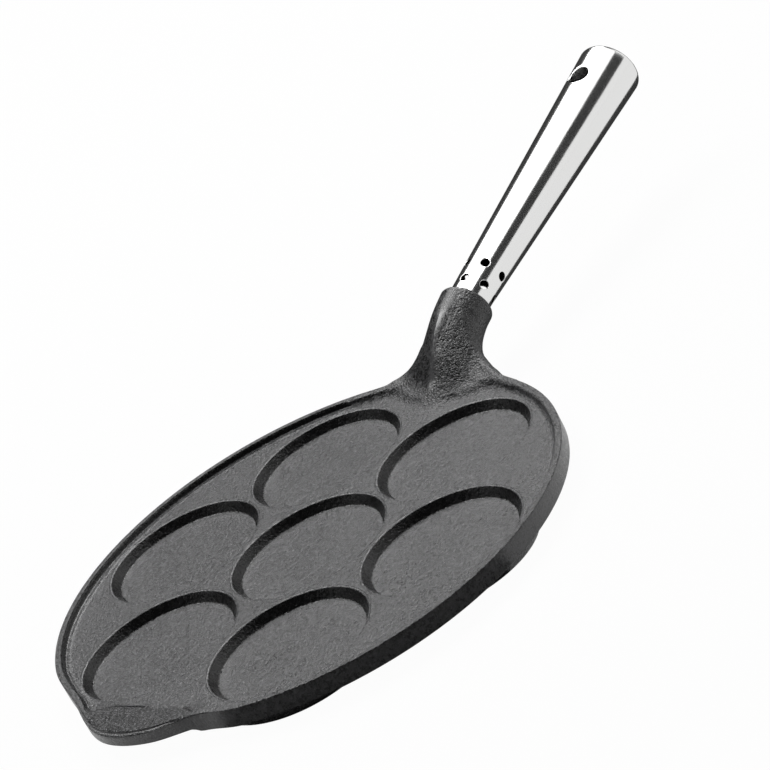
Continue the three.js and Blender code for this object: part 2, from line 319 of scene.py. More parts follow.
def lip(azimuth):
    """How far the lip is a ramp, where the ramp's foot lies, and the rim's outside
    radius, lower edge, top and edge rounding there. The foot is a chord of the pan; the
    others are the plain rim's value plus their own squared cosines."""
    turn = off_azimuth(azimuth, LIP_ANGLE)
    side = np.where(turn[..., None] < 0, LIP_LEFT, LIP_RIGHT)
    half, waist_angle, waist_half, waist_depth = np.moveaxis(side, -1, 0)
    past = np.maximum(np.abs(turn) - LIP_UNDERCUT_HALF, 0)
    lifted = hump(past, LIP_UNDERCUT_FALL)
    waist = hump(np.abs(turn) - waist_angle, waist_half)
    outside = RIM_RADIUS + LIP_REACH * hump(turn, half) - waist_depth * waist
    under = UNDERSIDE + LIP_UNDERCUT * lifted
    rounded = hump(turn, LIP_EDGE_HALF)
    top = RIM_TOP - LIP_DROP * rounded
    edge = mix(RIM_EDGE, LIP_EDGE, rounded)
    plain_foot = outside - RIM_LAND - RIM_DRAFT - RIM_FOOT
    off_chord = np.clip(off_azimuth(azimuth, LIP_CHORD_ANGLE), -60, 60)
    ramp_foot = np.minimum(plain_foot, LIP_CHORD / np.cos(np.radians(off_chord)))
    ramp = 1 - hump(plain_foot - ramp_foot, LIP_RAMP_RUN)
    return ramp, ramp_foot, outside, under, top, edge


def well_reach(azimuth, radius):
    """How far from the pan's middle a circle round the nearest outer well reaches."""
    off = np.radians(off_azimuth(azimuth % 60, 30))
    square = radius**2 - (WELL_RING * np.sin(off)) ** 2
    reach = WELL_RING * np.cos(off) + np.sqrt(np.maximum(square, 0))
    return np.where(square > 0, reach, 0)


def rim_foot(azimuth, brow):
    """Radius at which the rim's wall or the lip's ramp leaves the plate."""
    ramp, ramp_foot, outside = lip(azimuth)[:3]
    plain = outside - RIM_LAND - RIM_DRAFT - RIM_FOOT
    return np.maximum(mix(plain, ramp_foot, ramp), well_reach(azimuth, WELL_RADIUS + brow) + 0.5)


def plate_edge(azimuth, brow):
    """The line at which the wells' cells end: a little inside the rim's foot, further
    in between two wells, and furthest in where the neck stands."""
    between = hump(off_azimuth(azimuth % 60, 0) - 60 * (azimuth % 60 > 30), 22)
    neck = hump(off_azimuth(azimuth, 0), 27)
    line = rim_foot(azimuth, brow) - 0.25 - mix(3.0 * between, 20.0, neck)
    return np.maximum(line, well_reach(azimuth, WELL_RADIUS + brow) + 0.45)


def under_edge(azimuth, brow):
    """The same line on the underside, where the brow makes no difference."""
    return np.minimum(112.5, lip(azimuth)[2] - RIM_EDGE - 1.0)


def underside_height(x, y):
    """Height of the plate's underside, which rises on a slope under the lip."""
    outside, under = lip(np.degrees(np.arctan2(y, x)))[2:4]
    start = RIM_RADIUS - RIM_MARGIN
    share = np.clip((np.hypot(x, y) - start) / (outside - RIM_EDGE - start), 0, 1)
    return mix(UNDERSIDE, under, share)


def well_rows(brow):
    """Radius and height of a well's rows from its middle out to the plate: a flat
    floor, a fillet, a sloping wall and a rounded brow."""
    slope = math.atan2(WELL_DEPTH, WELL_RADIUS - WELL_FLOOR_RADIUS)
    floor = PLATE_TOP - WELL_DEPTH
    start = WELL_FLOOR_RADIUS - WELL_FILLET * math.tan(slope / 2)
    flat = np.array([(radius, floor) for radius in (0.0, 6.0, 13.0, 20.0, 26.0, 31.3)])
    tilt = np.linspace(0, slope, 7)
    radius = start + WELL_FILLET * np.sin(tilt)
    fillet = np.stack([radius, floor + WELL_FILLET * (1 - np.cos(tilt))], 1)
    round_brow = brow / math.tan(slope / 2)
    tilt = np.linspace(slope, 0, 6)
    radius = WELL_RADIUS + brow - round_brow * np.sin(tilt)
    crest = np.stack([radius, PLATE_TOP - round_brow * (1 - np.cos(tilt))], 1)
    middle = (fillet[-1:] + crest[:1]) / 2
    return np.concatenate([flat, fillet, middle, crest])


PAD_ROWS = np.array([
    (0.0, 0.0),
    (8.0, 0.0),
    (18.0, 0.0),
    (28.0, 0.0),
    (34.0, 0.0),
    (PAD_RADIUS - PAD_EDGE, 0.0),
    (PAD_RADIUS - PAD_EDGE * 0.3, PAD_EDGE * 0.2),
    (PAD_RADIUS, PAD_EDGE),
    (PAD_RADIUS + PAD_DRAFT * 0.5, (PAD_EDGE + UNDERSIDE) / 2),
    (PAD_RADIUS + PAD_DRAFT, UNDERSIDE),
])


def cells(edge, brow):
    """The seven wells' middles, each with the rays that fan out from it to the border
    of its cell: the middle cell is a hexagon, and an outer one is bounded by a side of
    it, by two radial lines and by the edge line. Neighbours mirror each other, so
    their rays meet on the border."""
    made = []
    half = np.linspace(0, 30, AZIMUTHS_PER_HALF_CELL + 1)
    for well in range(6):
        middle = 30 + 60 * well
        sides = []
        for way in (1, -1):
            reach = edge(middle + way * half, brow)
            out_x = reach * np.cos(np.radians(half)) - WELL_RING
            out_y = reach * np.sin(np.radians(half))
            outer = np.degrees(np.arctan2(out_y, out_x))
            side = np.linspace(outer[-1], 150, SIDE_RAYS + 1)[1:]
            inner = np.linspace(150, 180, INNER_RAYS + 1)[1:]
            border = np.concatenate([
                np.hypot(out_x, out_y),
                WELL_RING / 2 / np.cos(np.radians(side - 120)),
                WELL_RING / 2 / np.cos(np.radians(inner - 180)),
            ])
            sides.append((way * np.concatenate([outer, side, inner]), border))
        (left, left_border), (right, right_border) = sides
        angle = np.radians(np.concatenate([left, right[-2:0:-1]]) + middle)
        border = np.concatenate([left_border, right_border[-2:0:-1]])
        centre = at_azimuth(WELL_RING, 0.0, float(middle))[:2]
        made.append((centre, angle, border))
    angle = np.arange(12 * INNER_RAYS) * 30 / INNER_RAYS
    border = WELL_RING / 2 / np.cos(np.radians(angle % 60 - 30))
    made.append((np.zeros(2), np.radians(angle), border))
    return made


def top_cell(centre, angle, border, brow):
    """A well and the iron round it: the rows' radius along each ray, then the web."""
    rows = well_rows(brow)
    end = rows[-1, 0]
    radius = np.repeat(rows[:, :1], len(angle), 1)
    height = np.repeat(rows[:, 1:], len(angle), 1)
    near = end + np.minimum(0.3, 0.3 * (border - end))
    web = np.stack([near, mix(near, border, 0.5), border])
    radius = np.concatenate([radius, web])
    height = np.concatenate([height, np.full_like(web, PLATE_TOP)])
    x = centre[0] + radius * np.cos(angle)
    y = centre[1] + radius * np.sin(angle)
    return np.stack([x, y, height], -1)


def under_cell(centre, angle, border):
    """The pad under a well, with its rows cut off at the border of the cell."""
    radius = np.minimum(PAD_ROWS[:, :1], border)
    web = mix(radius[-1], border, np.array([[0.5], [1.0]]))
    radius = np.concatenate([radius, web])
    x = centre[0] + radius * np.cos(angle)
    y = centre[1] + radius * np.sin(angle)
    share = np.interp(radius, PAD_ROWS[:, 0], PAD_ROWS[:, 1]) / UNDERSIDE
    return np.stack([x, y, underside_height(x, y) * share], -1)


def rim_rows(azimuth, brow):
    """Radius and height of the rim's rows at each azimuth, from the plate over the
    foot's fillet, the wall, the land and the rounded edge to the underside. Towards
    the middle of the lip the inner rows slide onto a long straight ramp."""
    ramp, ramp_foot, outside, under, top, edge = lip(azimuth)
    foot = rim_foot(azimuth, brow)
    start = plate_edge(azimuth, brow)
    rows = [(mix(start, foot, share), PLATE_TOP) for share in (0, 0.5)]
    rows.append((foot - np.minimum(0.7, 0.2 * (foot - start)), PLATE_TOP))
    wall_foot = outside - RIM_LAND - RIM_DRAFT
    land = outside - RIM_LAND + 0.45
    plain_foot = mix(wall_foot - RIM_FOOT, ramp_foot, ramp)
    ramp_top = outside - edge - RIM_EDGE
    tilts = np.linspace(0, np.pi / 2, 8)
    inner = [
        (wall_foot - RIM_FOOT * (1 - np.sin(tilt)), RIM_FOOT * (1 - np.cos(tilt)), 0.0)
        for tilt in tilts
    ]
    rise = top - PLATE_TOP
    # A shallow groove runs along the foot of the ramp
    inner[0] = (inner[0][0], -LIP_GROOVE * ramp, 0.0)
    inner.append((land - 0.7, rise - 0.32, 0.0))
    inner.append((land - 0.43, rise - 0.1, 0.0))
    inner.append((land, rise, 0.12))
    end = mix(land, ramp_top + 0.12, ramp)
    stretch = (end - foot) / (end - plain_foot)
    for radius, height, past in inner:
        on_ramp = mix(ramp_foot, ramp_top, np.maximum(height, 0) / rise) + past
        radius = foot + (mix(radius, on_ramp, ramp) - plain_foot) * stretch
        rows.append((radius, PLATE_TOP + height))
    rows.append(((end + outside - edge) / 2, top))
    for tilt in np.radians([90, 70, 50, 30, 12, 0]):
        rows.append((outside - edge * (1 - np.cos(tilt)), top - edge * (1 - np.sin(tilt))))
    low = under + RIM_EDGE
    for share in (0.06, 0.5, 0.94, 1.0):
        rows.append((outside, mix(top - edge, low, share)))
    for tilt in np.radians([30, 60, 90]):
        height = low - RIM_EDGE * np.sin(tilt)
        rows.append((outside - RIM_EDGE * (1 - np.cos(tilt)), height))
    for share in (0.5, 1.0):
        radius = mix(outside - RIM_EDGE, under_edge(azimuth, brow), share)
        angle = np.radians(azimuth)
        rows.append((radius, underside_height(radius * np.cos(angle), radius * np.sin(angle))))
    radius = np.stack([np.broadcast_to(row[0], azimuth.shape) for row in rows])
    height = np.stack([np.broadcast_to(row[1], azimuth.shape) for row in rows])
    return radius, height


def rim_points(azimuth, brow):
    """The rim's rows as points."""
    radius, height = rim_rows(azimuth, brow)
    return at_azimuth(radius, height, azimuth)


# The neck

def neck_shares(along):
    """Cubic curves through the rows of shares, with each row's slope from its
    neighbours."""
    stations, values = NECK_SHARES[:, 0], NECK_SHARES[:, 1:]
    slopes = np.gradient(values, stations, axis=0)
    along = np.clip(along, stations[0], stations[-1])
    row = np.clip(np.searchsorted(stations, along) - 1, 0, len(stations) - 2)
    gap = (stations[row + 1] - stations[row])[..., None]
    u = (along - stations[row])[..., None] / gap
    ease = u * u * (3 - 2 * u)
    start = u * (1 - u) ** 2 * gap * slopes[row]
    stop = u * u * (1 - u) * gap * slopes[row + 1]
    return mix(values[row], values[row + 1], ease) + start - stop


def neck_section(along):
    """Where the neck's section stands, how it leans and how large its outline is."""
    lift, lean, flare, collar, above, below, bell = np.moveaxis(neck_shares(along), -1, 0)
    out = mix(NECK_ROOT, COLLAR_END, along)
    height = PLATE_TOP + COLLAR_LIFT * lift
    half = NECK_FLARE * flare + COLLAR_RADIUS * collar
    lean = np.radians(COLLAR_LEAN) * lean
    return out, height, lean, half, COLLAR_RADIUS * above, COLLAR_RADIUS * below, bell


def neck_outline(half, above, below, bell, angle):
    """Across and up in the section: half an ellipse below, and above it a mixture of
    half an ellipse and a bell, whose top is drawn to a rounded crest by a hyperbola."""
    across, arch = np.cos(angle), np.sin(angle)
    crest = (1 + CREST_ROUND - np.hypot(across, CREST_ROUND)) ** 1.7
    crest = crest * (1 - np.abs(across) ** 6)
    upper = above * mix(arch, mix(hump(across, 1.0), crest, CREST_SHARE), bell)
    return half * across, np.where(arch >= 0, upper, below * arch)


def neck_points(along, angle):
    """Points of the neck's surface from the way along and the angle in the section."""
    out, height, lean, half, above, below, bell = neck_section(along)
    across, up = neck_outline(half, above, below, bell, angle)
    parts = (out - np.sin(lean) * up, across, height + np.cos(lean) * up)
    return np.stack(np.broadcast_arrays(*parts), -1)


def outline_distance(across, up, outline_across, outline_up):
    """Distance of points to closed outlines in a plane, below zero inside."""
    step_across = np.roll(outline_across, -1, -1) - outline_across
    step_up = np.roll(outline_up, -1, -1) - outline_up
    off_across = across[..., None] - outline_across
    off_up = up[..., None] - outline_up
    length = step_across**2 + step_up**2 + 1e-12
    share = np.clip((off_across * step_across + off_up * step_up) / length, 0, 1)
    gaps = (off_across - share * step_across) ** 2 + (off_up - share * step_up) ** 2
    near = np.sqrt(np.min(gaps, -1))
    crosses = (off_up < 0) != (off_up < step_up)
    safe = np.where(step_up == 0, 1e-12, step_up)
    left = off_across < off_up / safe * step_across
    inside = np.sum(crosses & left, -1) % 2 == 1
    return np.where(inside, -near, near)


def neck_distance(points):
    """Distance to the neck within the section that passes through each point."""
    x, y, z = np.moveaxis(points, -1, 0)
    stations = np.linspace(-0.1, 0.75, 100)
    out, height, lean = neck_section(stations)[:3]
    ahead = (x[..., None] - out) * np.cos(lean) + (z[..., None] - height) * np.sin(lean)
    after = np.clip(np.argmax(ahead <= 0, -1), 1, len(stations) - 1)
    first = np.take_along_axis(ahead, after[..., None] - 1, -1)[..., 0]
    second = np.take_along_axis(ahead, after[..., None], -1)[..., 0]
    share = np.clip(first / (first - second + 1e-12), 0, 1)
    along = mix(stations[after - 1], stations[after], share)
    out, height, lean, half, above, below, bell = neck_section(along)
    up = (z - height) * np.cos(lean) - (x - out) * np.sin(lean)
    angle = np.linspace(0, 2 * np.pi, 60, endpoint=False)
    sizes = [part[..., None] for part in (half, above, below, bell)]
    return outline_distance(y, up, *neck_outline(*sizes, angle))


def rim_distance(points, brow):
    """Distance to the plate with its plain rim, which is turned round the Z axis."""
    radius, height = rim_rows(np.array([20.0]), brow)
    outline = np.stack([radius[3:, 0], height[3:, 0]], 1)
    outline = np.concatenate([[(0, PLATE_TOP)], outline, [(0, UNDERSIDE)]])
    turned = np.hypot(points[..., 0], points[..., 1])
    return outline_distance(turned, points[..., 2], outline[:, 0], outline[:, 1])


def ridge_distance(points):
    """Distance to a thin round bar on either flank, whose line is the cubic curve of the
    ridge's four points. The bar on the left is thinner."""
    share = np.linspace(0, 1, RIDGE_STEPS)[:, None]
    left = 1 - share
    weights = (left**3, 3 * share * left**2, 3 * share**2 * left, share**3)
    line = sum(weight * point for weight, point in zip(weights, RIDGE))
    radius = RIDGE_RADIUS - RIDGE_LESS * (points[..., 1] > 0)
    points = points * [1, 0, 1] + np.abs(points) * [0, 1, 0]
    step = np.diff(line, axis=0)
    off = points[..., None, :] - line[:-1]
    share = np.clip(np.sum(off * step, -1) / np.sum(step**2, -1), 0, 1)
    gap = np.linalg.norm(off - share[..., None] * step, axis=-1)
    return np.min(gap, -1) - radius


def soft_union(first, second, soft):
    """The smaller of two distances, lowered by a parabola where they nearly agree."""
    near = np.maximum(soft - np.abs(first - second), 0) / soft
    return np.minimum(first, second) - near**2 * soft / 4


def iron_distance(points, brow, blend):
    """The smaller of the rim's and the neck's distances, softened where they are nearly
    equal, which leaves a fillet between the two. It is widest on the plate, narrower
    outside the rim, and the underside keeps its edge. The ridges join in the same way."""
    first = rim_distance(points, brow)
    second = neck_distance(points) * 0.8
    upper = np.clip((points[..., 2] - 5.5) / 4.5, 0, 1)
    past = np.clip((np.hypot(points[..., 0], points[..., 1]) - 107) / 7, 0, 1)
    soft = mix(blend, 0.5 * blend, past * past * (3 - 2 * past))
    soft = mix(0.3, soft, upper * upper * (3 - 2 * upper))
    return soft_union(soft_union(first, second, soft), ridge_distance(points), RIDGE_BLEND)


def onto_iron(points, brow, blend, times):
    """Moves points along the slope of the distance until it is zero."""
    step = 0.05
    for _ in range(times):
        value = iron_distance(points, brow, blend)
        shifted = [iron_distance(points + shift, brow, blend) for shift in step * np.eye(3)]
        slope = np.stack([(other - value) / step for other in shifted], -1)
        steepness = np.maximum(np.sum(slope**2, -1), 0.05)
        move = -(value / steepness)[..., None] * slope
        size = np.linalg.norm(move, axis=-1, keepdims=True)
        points = points + move * np.minimum(1, 1.5 / np.maximum(size, 1e-9))
    return points


def neck_rings(brow, blend):
    """Rings from the hole left in the rim's rows to a section of the neck. Each line
    is a cubic that leaves the rim along its own surface, radially from the plate and
    round the pan from the sides, and all are then eased and laid onto the iron."""
    azimuth = np.arange(-NECK_COLUMNS, NECK_COLUMNS + 1) * 30 / AZIMUTHS_PER_HALF_CELL
    rim = rim_points(azimuth, brow)
    rows, columns = rim.shape[:2]
    start = np.concatenate([rim[0], rim[1:-1, -1], rim[-1, ::-1], rim[-2:0:-1, 0]])
    outward = at_azimuth(1.0, 0.0, azimuth)
    inward_left = np.repeat(at_azimuth(1.0, 0.0, azimuth[-1:] - 90), rows - 2, 0)
    inward_right = np.repeat(at_azimuth(1.0, 0.0, azimuth[:1] + 90), rows - 2, 0)
    way_out = np.concatenate([outward, inward_left, outward[::-1], inward_right])
    for _ in range(6):
        way_out = np.roll(way_out, 1, 0) + 2 * way_out + np.roll(way_out, -1, 0)
        way_out /= np.linalg.norm(way_out, axis=1, keepdims=True)
    # The angle in the target section, from the top line down one side to the bottom
    count = len(start)
    lower_corner = columns + rows - 2
    bottom = lower_corner + NECK_COLUMNS
    gaps = np.linalg.norm(np.diff(start[: bottom + 1], axis=0), axis=1)
    length = np.concatenate([[0], np.cumsum(gaps)])
    anchors = [NECK_COLUMNS, columns - 1, lower_corner, bottom]
    half = np.interp(length[NECK_COLUMNS:], length[anchors], np.radians([90, 38, -34, -90]))
    for _ in range(60):
        half[1:-1] = (half[:-2] + 2 * half[1:-1] + half[2:]) / 4
    angle = np.empty(count)
    line = np.arange(NECK_COLUMNS, bottom + 1)
    angle[line] = half
    angle[(2 * NECK_COLUMNS - line) % count] = np.pi - half
    target = neck_points(np.full(count, NECK_JOINT), angle)
    way_in = neck_points(np.full(count, NECK_JOINT + 0.02), angle) - target
    way_in /= np.linalg.norm(way_in, axis=1, keepdims=True)
    span = np.linalg.norm(target - start, axis=1, keepdims=True)
    u = np.linspace(0, 1, NECK_RINGS + 1)[:, None, None]
    lines = mix(start, target, u * u * (3 - 2 * u))
    lines = lines + span * (u * (1 - u) ** 2 * way_out - u * u * (1 - u) * way_in)
    lines[1:-1] = onto_iron(lines[1:-1], brow, blend, 5)
    for _ in range(10):
        inner = lines[1:-1]
        sides = np.roll(inner, 1, 1) + np.roll(inner, -1, 1)
        eased = mix(inner, (sides + lines[:-2] + lines[2:]) / 4, 0.6)
        lines[1:-1] = onto_iron(eased, brow, blend, 1)
    return lines, angle


def handle_axis():
    """The collar's end on the handle's axis, and the axis's direction."""
    slope = math.radians(HANDLE_SLOPE)
    centre = np.array([COLLAR_END, 0.0, PLATE_TOP + COLLAR_LIFT])
    return centre, np.array([math.cos(slope), 0.0, math.sin(slope)])


def root_radius(along):
    """Outside radius of the handle in and near the iron, with the bell at its root."""
    taper = (TUBE_END_RADIUS - TUBE_COLLAR_RADIUS) / TUBE_LENGTH
    return TUBE_COLLAR_RADIUS + taper * along + TUBE_BELL * hump(
        along + TUBE_EMBED, TUBE_BELL_LENGTH
    )


def collar_rings(angle):
    """Rings up the collar, round its edge, over its end face and down its socket."""
    steps = mix(NECK_JOINT, 0.96, np.linspace(0, 1, 9)[1:])
    rings = [neck_points(np.full(len(angle), along), angle) for along in steps]
    lean = math.radians(COLLAR_LEAN)
    forward = np.array([math.cos(lean), 0.0, math.sin(lean)])
    up = np.array([-math.sin(lean), 0.0, math.cos(lean)])
    centre, axis = handle_axis()
    spoke = np.cos(angle)[:, None] * np.array([0.0, 1.0, 0.0]) + np.sin(angle)[:, None] * up
    for tilt in np.radians([15, 30, 45, 60, 75, 90]):
        radius = COLLAR_RADIUS - COLLAR_EDGE * (1 - np.cos(tilt))
        rings.append(centre - COLLAR_EDGE * (1 - np.sin(tilt)) * forward + radius * spoke)
    across = spoke - (spoke @ axis)[:, None] * axis
    across /= np.linalg.norm(across, axis=1, keepdims=True)
    mouth = across * (root_radius(0) + GAP)
    slide = -(mouth @ forward) / (axis @ forward)
    rings.append(centre + mouth + slide[:, None] * axis)
    for depth in (-4.0, -8.0, -11.0, -12.5, -14.0, -TUBE_EMBED - GAP):
        rings.append(centre + depth * axis + (root_radius(depth) + GAP) * across)
    bottom = centre - (TUBE_EMBED + GAP) * axis
    rings.append(bottom + 5.0 * across)
    rings.append(bottom + 0.0 * across)
    return np.stack(rings)


# The handle

TUBE_BEND = TUBE_LENGTH - TUBE_END_ROUND
TUBE_MOUTH = root_radius(TUBE_BEND) - TUBE_END_ROUND
ROOT_STATIONS = (-15.0, -14.0, -13.0, -12.0, -11.0, -7.0, -3.0, 0.0)
SHAFT_STATIONS = (30.0, 45.0, 60.0, 75.0, 90.0, 105.0, 118.0)


def on_handle(along, turn, radius):
    """Points from the distance along the handle, the turn off its top in degrees,
    towards the right, and the distance from its axis."""
    centre, axis = handle_axis()
    up = np.array([-axis[2], 0.0, axis[0]])
    turn = np.radians(turn)
    along, turn, radius = [part[..., None] for part in np.broadcast_arrays(along, turn, radius)]
    side = np.array([0.0, -1.0, 0.0])
    return centre + along * axis + radius * (np.cos(turn) * up + np.sin(turn) * side)


def block_stations(middle, half, steps):
    """Even stations along the handle across the block round one hole."""
    return list(middle + half * np.linspace(-1, 1, steps + 1))


def block_border(rows, columns):
    """Row and column numbers round the border of a block of a grid, in one loop."""
    first, last = rows
    left, right = columns
    across = np.arange(left, right + 1)
    down = np.arange(first + 1, last)
    row = [np.full(len(across), first), down, np.full(len(across), last), down[::-1]]
    column = [across, np.full(len(down), right), across[::-1], np.full(len(down), left)]
    return np.concatenate(row), np.concatenate(column)


def hole_sheet(middle, turn, bore, along, turns, edge):
    """The sheet round one hole: from the block's border in to the hole's rounded edge,
    down its wall, and out to the same border on the inside of the tube."""
    radius = root_radius(middle)
    way = np.arctan2(np.radians(turns - turn) * radius, along - middle)
    tilts = np.radians([0, 30, 60, 90])
    sunk = [(edge * (1 - math.sin(tilt)), edge * (1 - math.cos(tilt))) for tilt in tilts]
    raised = [(out, TUBE_WALL - depth) for out, depth in reversed(sunk)]
    rings = []
    for out, depth in sunk + [(0.0, TUBE_WALL / 2)] + raised:
        reach = bore + out
        at = middle + reach * np.cos(way)
        off = np.degrees(np.arcsin(reach * np.sin(way) / (root_radius(at) - depth)))
        rings.append((at, turn + off, depth))
    first_at, first_turn = rings[0][:2]
    outer = [(mix(along, first_at, s), mix(turns, first_turn, s), 0.0) for s in (0, 0.4, 0.8)]
    inner = [(at, off, TUBE_WALL) for at, off, depth in reversed(outer)]
    made = []
    for at, off, depth in outer + rings + inner:
        made.append(on_handle(at, off, root_radius(at) - depth))
    return np.stack(made)


def handle_sheets(edge):
    """The tapered tube: an outer and an inner skin on one grid, joined at the root, at
    the mouth and round every hole."""
    turns = VENT_ROWS[0][1] + np.arange(TUBE_COLUMNS) * 360 / TUBE_COLUMNS
    stations = list(ROOT_STATIONS)
    holes = []
    for middle, turn in VENT_ROWS:
        start = len(stations)
        stations += block_stations(middle, 3.3, 4)
        for vent in range(VENTS_IN_ROW):
            holes.append((middle, turn + 360 / VENTS_IN_ROW * vent, VENT_RADIUS, start, 4, 10))
    stations += SHAFT_STATIONS
    start = len(stations)
    stations += block_stations(EYELET_AT, 8.4, 8)
    for turn in (0.0, 180.0):
        holes.append((EYELET_AT, turn, EYELET_BORE_RADIUS + EYELET_WALL + GAP, start, 8, 17))
    stations = np.array(stations + [148.0, TUBE_BEND])
    tilt = np.linspace(0, np.pi / 2, 8)[1:]
    small = TUBE_END_ROUND - TUBE_WALL
    shaft = root_radius(stations)
    bend = shaft[-1]
    outer_at = np.concatenate([stations, TUBE_BEND + TUBE_END_ROUND * np.sin(tilt)])
    outer = np.concatenate([shaft, bend - TUBE_END_ROUND * (1 - np.cos(tilt))])
    inner_at = np.concatenate([stations, TUBE_BEND + small * np.sin(tilt)])
    inner = np.concatenate([shaft - TUBE_WALL, bend - TUBE_WALL - small * (1 - np.cos(tilt))])
    keep = np.ones((len(outer_at) - 1, TUBE_COLUMNS), bool)
    sheets = []
    for middle, turn, bore, start, steps, reach in holes:
        column = round((turn - turns[0]) / 360 * TUBE_COLUMNS)
        span = (column - reach, column + reach)
        keep[start : start + steps, np.arange(*span) % TUBE_COLUMNS] = False
        row, border = block_border((start, start + steps), span)
        off = turns[0] + border * 360 / TUBE_COLUMNS
        sheets.append(sheet(hole_sheet(middle, turn, bore, stations[row], off, edge)))
    for at, radius, flip in ((outer_at, outer, False), (inner_at, inner, True)):
        points, faces = sheet(on_handle(at[:, None], turns, radius[:, None]), flip=flip)
        sheets.append((points, faces[keep.reshape(-1)]))
    for at, radius, other_at, other in (
        (-TUBE_EMBED, shaft[0] - TUBE_WALL, -TUBE_EMBED, shaft[0]),
        (TUBE_LENGTH, outer[-1], inner_at[-1], inner[-1]),
    ):
        ring = [on_handle(at, turns, radius), on_handle(other_at, turns, other)]
        sheets.append(sheet(np.stack(ring)))
    return sheets


def eyelet_sheets():
    """The sleeve through the handle's end: a thin wall carried round the bore, with
    both mouths following the tube's skin and rolled a little outwards."""
    way = np.radians(np.arange(0, 360, 5))
    seat = EYELET_BORE_RADIUS + EYELET_WALL
    lip_rows = [
        (seat, -1.2),
        (seat, -0.45),
        (seat + 0.24, -0.2),
        (seat + 0.2, -0.02),
        (seat - 0.1, 0.06),
        (EYELET_BORE_RADIUS + 0.3, 0.0),
        (EYELET_BORE_RADIUS + 0.06, -0.2),
        (EYELET_BORE_RADIUS, -0.5),
    ]
    centre, axis = handle_axis()
    up = np.array([-axis[2], 0.0, axis[0]])
    rings = []
    for face, rows in ((1, lip_rows), (-1, lip_rows[::-1])):
        for reach, past in rows:
            at = EYELET_AT + reach * np.cos(way)
            off = reach * np.sin(way)
            height = face * (np.sqrt(root_radius(at) ** 2 - off**2) + past)
            side = off[:, None] * np.array([0.0, -1.0, 0.0])
            rings.append(centre + at[:, None] * axis + side + height[:, None] * up)
    rings.append(rings[0])
    return [sheet(np.stack(rings), flip=True)]


def turned_sheets(profile):
    """A profile of distances along the handle and radii, turned about its axis."""
    turns = np.arange(0, 360, 3.0)
    rings = [on_handle(at, turns, radius) for at, radius in profile]
    return [sheet(np.stack(rings))]


def cap_profile():
    """The end disc: a rounded edge and a face that swells a little to the middle."""
    radius = TUBE_MOUTH - 0.05
    back, bend, edge = TUBE_LENGTH - 1.6, TUBE_LENGTH - 0.75, 0.3
    rows = [(back, 0.0), (back, radius), (bend, radius)]
    for tilt in np.radians([20, 45, 70]):
        rows.append((bend + edge * math.sin(tilt), radius - edge * (1 - math.cos(tilt))))
    for share in (0.97, 0.9, 0.75, 0.5, 0.25, 0.0):
        rows.append((TUBE_LENGTH - 0.05 - 0.4 * share**2, radius * share))
    return rows


# Meshes

def sheet(points, close=True, flip=False):
    """The four-sided faces between neighbouring rows and columns of a grid."""
    rows, columns = points.shape[:2]
    index = np.arange(rows * columns).reshape(rows, columns)
    if close:
        index = np.concatenate([index, index[:, :1]], 1)
    corners = [index[:-1, :-1], index[:-1, 1:], index[1:, 1:], index[1:, :-1]]
    if flip:
        corners.reverse()
    return points.reshape(-1, 3), np.stack(corners, -1).reshape(-1, 4)


def add_piece(name, sheets, material, replaced):
    """Joins sheets into one closed mesh in metres: points that meet become one, and a
    face that lost a corner becomes a triangle."""
    points = np.concatenate([part[0] for part in sheets])
    starts = np.cumsum([0] + [len(part[0]) for part in sheets])
    faces = np.concatenate([part[1] + start for part, start in zip(sheets, starts)])
    keys = np.round(points / WELD).astype(np.int64)
    _, kept, joined = np.unique(keys, axis=0, return_index=True, return_inverse=True)
    faces = joined.reshape(-1)[faces]
    same = faces == np.roll(faces, -1, 1)
    whole = faces[~same.any(1)]
    triangles = []
    for corner in range(4):
        lost = faces[same[:, corner] & (same.sum(1) == 1)]
        triangles.append(np.delete(lost, corner, 1))
    triangles = np.concatenate(triangles)
    mesh = bpy.data.meshes.new(name)
    mesh.from_pydata((points[kept] * MM).tolist(), [], whole.tolist() + triangles.tolist())
    mesh.polygons.foreach_set("use_smooth", np.ones(len(mesh.polygons), bool))
    mesh.materials.append(material)
    mesh.validate()
    piece = bpy.data.objects.new(name, mesh)
    bpy.context.scene.collection.objects.link(piece)
    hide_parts(replaced)
    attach(piece, "root")
    return piece


def casting_sheets(brow, blend):
    """Everything of the casting: the cells above and below, the rim, and the neck."""
    sheets = []
    for cell in cells(plate_edge, brow):
        sheets.append(sheet(top_cell(*cell, brow), flip=True))
    for cell in cells(under_edge, brow):
        sheets.append(sheet(under_cell(*cell)))
    columns = np.arange(NECK_COLUMNS, 12 * AZIMUTHS_PER_HALF_CELL - NECK_COLUMNS + 1)
    azimuth = columns * 30 / AZIMUTHS_PER_HALF_CELL
    sheets.append(sheet(rim_points(azimuth, brow), close=False, flip=True))
    lines, angle = neck_rings(brow, blend)
    rings = np.concatenate([lines, collar_rings(angle)])
    sheets.append(sheet(rings, flip=True))
    return sheets


def paint_inside(tube, material):
    """Gives the tube's inner skin and the walls of its holes their own material, a near-black
    steel that is painted shade.
    """
    tube.data.materials.append(material)
    middles = np.empty(3 * len(tube.data.polygons))
    tube.data.polygons.foreach_get("center", middles)
    centre, axis = handle_axis()
    off = middles.reshape(-1, 3) / MM - centre
    along = off @ axis
    depth = root_radius(along) - np.linalg.norm(off - along[:, None] * axis, axis=1)
    inside = (depth > 0.1) & (along < TUBE_BEND)
    tube.data.polygons.foreach_set("material_index", inside.astype(np.int32))


# Widths in millimetres of the lines of painted highlight on the iron: half of a brow's line,
# which is also wear, and the widths of the bells across the lip's edge, the rim's foot and the
# neck's crest
BROW_LINE = 0.5
LIP_LINE = 0.45
FOOT_LINE = 1.5
CREST_LINE = 1.6
